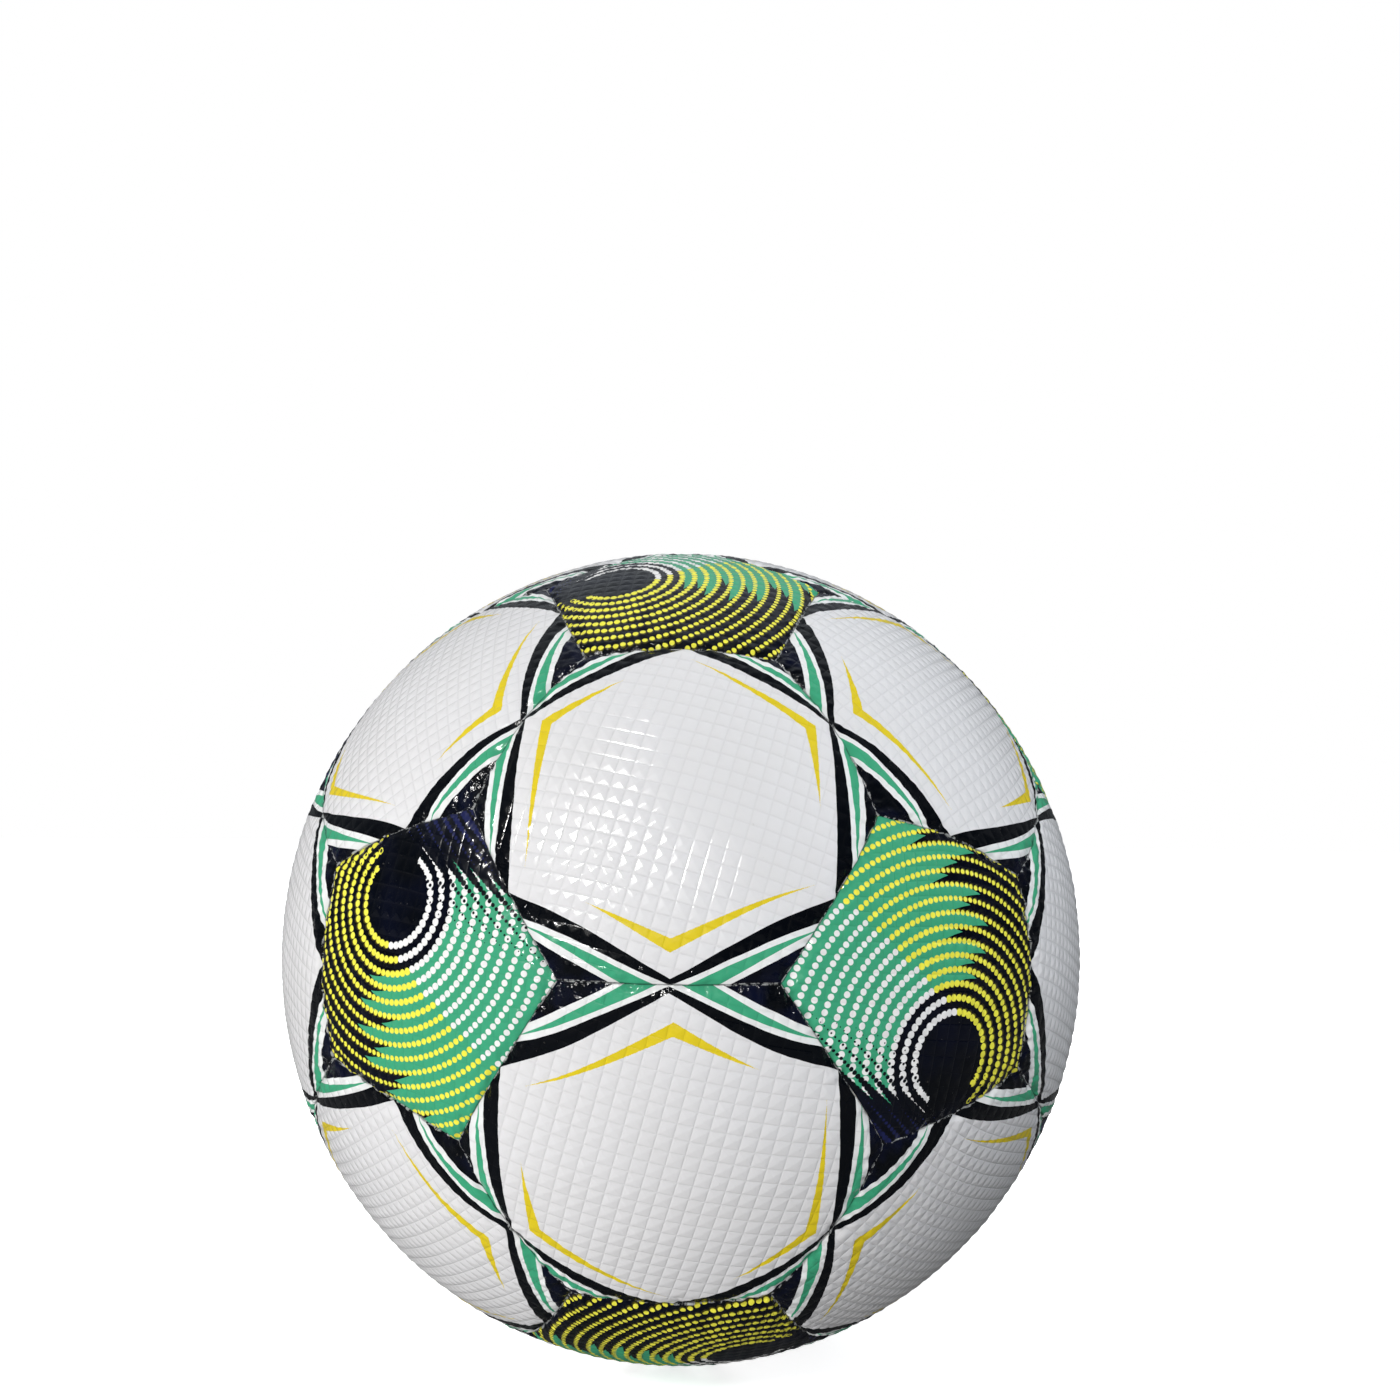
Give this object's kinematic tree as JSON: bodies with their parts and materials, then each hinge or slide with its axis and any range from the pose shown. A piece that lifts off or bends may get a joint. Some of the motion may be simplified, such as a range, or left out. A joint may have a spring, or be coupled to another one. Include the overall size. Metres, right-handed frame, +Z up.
{
  "type": "soccer ball",
  "caption": "Hand-stitched round ball of hexagonal and pentagonal cover panels over foam, lining and an inflated bladder, with a needle valve.",
  "frame": {"origin": "centre of the ball", "axes": "+Z up; -Y is the front, where the middle of a level hexagon-hexagon seam faces; the valve points along (-1, 1, 1)"},
  "size_m": [0.22, 0.22, 0.22],
  "materials": {
    "hexagon_cover": "semi-gloss embossed coating, white with printed bands",
    "pentagon_cover": "semi-gloss embossed coating, printed in green, black, yellow and white",
    "foam": "matt closed-cell foam",
    "lining": "woven cotton and polyester",
    "thread": "waxed polyester",
    "bladder": "satin butyl rubber",
    "valve_rubber": "satin butyl rubber",
    "valve_plug": "satin silicone-treated rubber"
  },
  "bodies": {
    "ball": {"hexagon_panel_01": "hexagon_cover", "hexagon_panel_02": "hexagon_cover", "hexagon_panel_03": "hexagon_cover", "hexagon_panel_04": "hexagon_cover", "hexagon_panel_05": "hexagon_cover", "hexagon_panel_06": "hexagon_cover", "hexagon_panel_07": "hexagon_cover", "hexagon_panel_08": "hexagon_cover", "hexagon_panel_09": "hexagon_cover", "hexagon_panel_10": "hexagon_cover", "hexagon_panel_11": "hexagon_cover", "hexagon_panel_12": "hexagon_cover", "hexagon_panel_13": "hexagon_cover", "hexagon_panel_14": "hexagon_cover", "hexagon_panel_15": "hexagon_cover", "hexagon_panel_16": "hexagon_cover", "hexagon_panel_17": "hexagon_cover", "hexagon_panel_18": "hexagon_cover", "hexagon_panel_19": "hexagon_cover", "hexagon_panel_20": "hexagon_cover", "pentagon_panel_01": "pentagon_cover", "pentagon_panel_02": "pentagon_cover", "pentagon_panel_03": "pentagon_cover", "pentagon_panel_04": "pentagon_cover", "pentagon_panel_05": "pentagon_cover", "pentagon_panel_06": "pentagon_cover", "pentagon_panel_07": "pentagon_cover", "pentagon_panel_08": "pentagon_cover", "pentagon_panel_09": "pentagon_cover", "pentagon_panel_10": "pentagon_cover", "pentagon_panel_11": "pentagon_cover", "pentagon_panel_12": "pentagon_cover", "hexagon_foam_pads": "foam", "pentagon_foam_pads": "foam", "hexagon_linings": "lining", "pentagon_linings": "lining", "hexagon_seam_threads": "thread", "pentagon_seam_threads": "thread", "bladder": "bladder", "valve_housing": "valve_rubber", "valve_reinforcement_ring": "lining"},
    "plug": {"valve_plug": "valve_plug"}
  },
  "joints": [
    {"name": "valve_plug_slide", "type": "slide", "parent": "ball", "child": "plug", "axis": [-0.5774, 0.5774, 0.5774], "range_m": [0, 0.017]}
  ]
}
